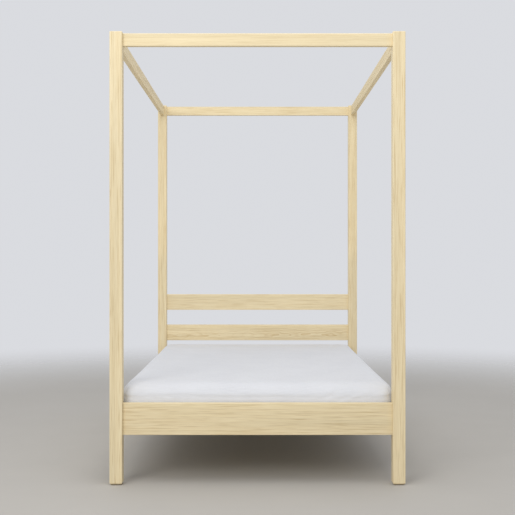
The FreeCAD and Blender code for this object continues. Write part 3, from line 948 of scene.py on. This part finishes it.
# across it in half widths, and through it in half thicknesses
STRAP_SECTION = ((-1, 0), (-0.97, 1), (-0.5, 1), (0, 1), (0.5, 1), (0.97, 1), (1, 0),
                 (0.97, -1), (0, -1), (-0.97, -1))


def make_strap(node, seed):
    """Tape that is stapled up to every slat and sags a little between them."""
    low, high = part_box(node)
    mid_x = (low.x + high.x) / 2
    half = (high.x - low.x) / 2
    held = [tuple(corner.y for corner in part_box(name)) for name in SLATS]
    sag = np.random.default_rng(seed).uniform(*STRAP_SAG, len(held))
    ys = np.linspace(low.y, high.y, STRAP_ROWS)
    zs = np.full(len(ys), high.z)
    for k in range(len(held) - 1):
        a, b = held[k][1], held[k + 1][0]
        t = np.clip((ys - a) / (b - a), 0, 1)
        zs -= sag[k] * np.sin(math.pi * t) ** SAG_SHAPE
    wander = STRAP_WANDER * np.sin(ys * 5.1 + seed)
    points = [np.column_stack([mid_x + u * half + wander, ys, zs - STRAP_DROP + w * STRAP_THICK])
              for u, w in STRAP_SECTION]
    n, around = len(ys), len(STRAP_SECTION)
    faces = []
    for k in range(around):
        a, b = k * n, ((k + 1) % around) * n
        faces += [(a + i, b + i, b + i + 1, a + i + 1) for i in range(n - 1)]
    faces.append(tuple(k * n for k in reversed(range(around))))
    faces.append(tuple(k * n + n - 1 for k in range(around)))
    name = node.replace("slat_strap", "webbing_strap")
    made = mesh_object(name, np.vstack(points), faces, WEBBING, FRAME_BODY)
    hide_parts(node)


make_strap("left_slat_strap", 3)
make_strap("right_slat_strap", 4)


# ---- felt pads under the posts ---------------------------------------------------------------
PAD_AROUND = 72
PAD_SQUARENESS = 7.0         # 2 would be a disc, more is squarer
PAD_FUZZ = 0.006
# from the middle of the pad's underside to the middle of its top: outward and upward shares
PAD_RINGS = ((0.45, 0.0), (0.8, 0.0), (0.955, 0.0), (0.985, 0.14), (0.995, 0.32), (1.0, 0.5),
             (0.995, 0.68), (0.985, 0.86), (0.955, 1.0), (0.8, 1.0), (0.45, 1.0))


def make_felt_pad(node, seed):
    """A needle felt pad, pressed to a slight bulge by the post, with a fuzzy cut edge."""
    low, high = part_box(node)
    centre = (low + high) / 2
    half = (high.x - low.x) / 2
    height = high.z - low.z
    angle = np.arange(PAD_AROUND) * 2 * math.pi / PAD_AROUND
    draw = np.random.default_rng(seed)
    power = PAD_SQUARENESS
    plan = 1 / (np.abs(np.cos(angle)) ** power + np.abs(np.sin(angle)) ** power) ** (1 / power)
    points, faces = [(centre.x, centre.y, low.z)], []
    for u, w in PAD_RINGS:
        fuzz = draw.uniform(-PAD_FUZZ, 0.0, PAD_AROUND) if u > 0.9 else np.zeros(PAD_AROUND)
        z = low.z + w * height
        for a, r in zip(angle, half * plan * (u + fuzz)):
            points.append((centre.x + r * math.cos(a), centre.y + r * math.sin(a), z))
    points.append((centre.x, centre.y, high.z))
    for k in range(len(PAD_RINGS) - 1):
        faces += ring_faces(1 + k * PAD_AROUND, 1 + (k + 1) * PAD_AROUND, PAD_AROUND)
    last = len(points) - 1
    top = last - PAD_AROUND
    faces += [(0, 1 + (k + 1) % PAD_AROUND, 1 + k) for k in range(PAD_AROUND)]
    faces += [(last, top + k, top + (k + 1) % PAD_AROUND) for k in range(PAD_AROUND)]
    name = node.replace("felt_pad", "felt_glide")
    made = mesh_object(name, points, faces, FELT, FRAME_BODY)
    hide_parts(node)


for k, node in enumerate(sorted(n for n in NODES if n.endswith("_felt_pad"))):
    make_felt_pad(node, 60 + k)


# ---- floor, light and camera -----------------------------------------------------------------
FLOOR_DARK = (0.472, 0.452, 0.415, 1)
FLOOR_PALE = (0.502, 0.480, 0.443, 1)
FLOOR_RADIUS = 12.0
FLOOR_SIDES = 96
FLOOR_Z = -0.0004            # just clear of the felt pads
FLOOR_FADE = (2.2, 6.0)      # it turns clear between these distances from the bed's middle
BACKGROUND = (0.700, 0.712, 0.745, 1)
CAMERA_BACK = 5.212
CAMERA_HEIGHT = 0.992
SENSOR, LENS = 36.0, 66.9
# place, target, size, power and colour of each light
LIGHTS = {
    "key": ((-3.0, -6.3, 3.7), (0.0, -0.5, 1.2), 2.6, 122.0, (1.0, 0.985, 0.955)),
    "overhead": ((-0.2, -2.0, 4.2), (0.0, 0.8, 0.6), 3.0, 50.0, (1.0, 0.99, 0.975)),
    # stands in for the warm light that a wooden floor throws back up on the canopy
    "bounce": ((0.0, 0.1, 0.96), (0.0, 0.1, 2.0), 1.5, 2.4, (1.0, 0.84, 0.50)),
}


def make_floor():
    """A plain pale floor that fades into the background well away from the bed."""
    material, t, shader = new_material("studio_floor", Roughness=0.8, Specular_IOR_Level=0.2)
    at = object_coords(t)
    speck = t.noise(at, 3.0, 4.0)
    t.put(shader.inputs["Base Color"], t.mix(speck, FLOOR_DARK, FLOOR_PALE))
    out = next(n for n in material.node_tree.nodes if n.type == "OUTPUT_MATERIAL")
    clear = t.node("ShaderNodeBsdfTransparent").outputs[0]
    blend = t.node("ShaderNodeMixShader")
    away = t.node("ShaderNodeVectorMath", operation="LENGTH")
    t.put(away.inputs[0], at)
    t.put(blend.inputs[0], t.span(away.outputs["Value"], *FLOOR_FADE))
    t.put(blend.inputs[1], shader.outputs[0])
    t.put(blend.inputs[2], clear)
    t.put(out.inputs["Surface"], blend.outputs[0])
    points = [(0, 0, FLOOR_Z)]
    for k in range(FLOOR_SIDES):
        a = 2 * math.pi * k / FLOOR_SIDES
        points.append((FLOOR_RADIUS * math.cos(a), FLOOR_RADIUS * math.sin(a), FLOOR_Z))
    faces = [(0, 1 + k, 1 + (k + 1) % FLOOR_SIDES) for k in range(FLOOR_SIDES)]
    data = bpy.data.meshes.new("studio_floor")
    data.from_pydata(points, [], faces)
    data.materials.append(material)
    floor = bpy.data.objects.new("studio_floor", data)
    bpy.context.scene.collection.objects.link(floor)


def make_light(name, place, target, size, power, color):
    lamp = bpy.data.lights.new(name, "AREA")
    lamp.shape = "SQUARE"
    lamp.size = size
    lamp.energy = power
    lamp.color = color
    made = bpy.data.objects.new(name, lamp)
    made.location = place
    made.visible_camera = False
    made.rotation_mode = "QUATERNION"
    made.rotation_quaternion = (Vector(target) - Vector(place)).to_track_quat("-Z", "Y")
    bpy.context.scene.collection.objects.link(made)


def make_world():
    world = bpy.data.worlds.new("studio")
    world.use_nodes = True
    background = world.node_tree.nodes["Background"]
    background.inputs["Color"].default_value = BACKGROUND
    background.inputs["Strength"].default_value = 1.0
    bpy.context.scene.world = world


def make_camera():
    data = bpy.data.cameras.new("camera")
    data.sensor_width = SENSOR
    data.lens = LENS
    data.clip_end = 100.0
    camera = bpy.data.objects.new("camera", data)
    camera.location = (0.0, -CAMERA_BACK, CAMERA_HEIGHT)
    camera.rotation_euler = (math.radians(90), 0, 0)
    bpy.context.scene.collection.objects.link(camera)
    bpy.context.scene.camera = camera


make_floor()
make_world()
for name, settings in LIGHTS.items():
    make_light(name, *settings)
make_camera()
bpy.context.scene.view_settings.view_transform = "Standard"
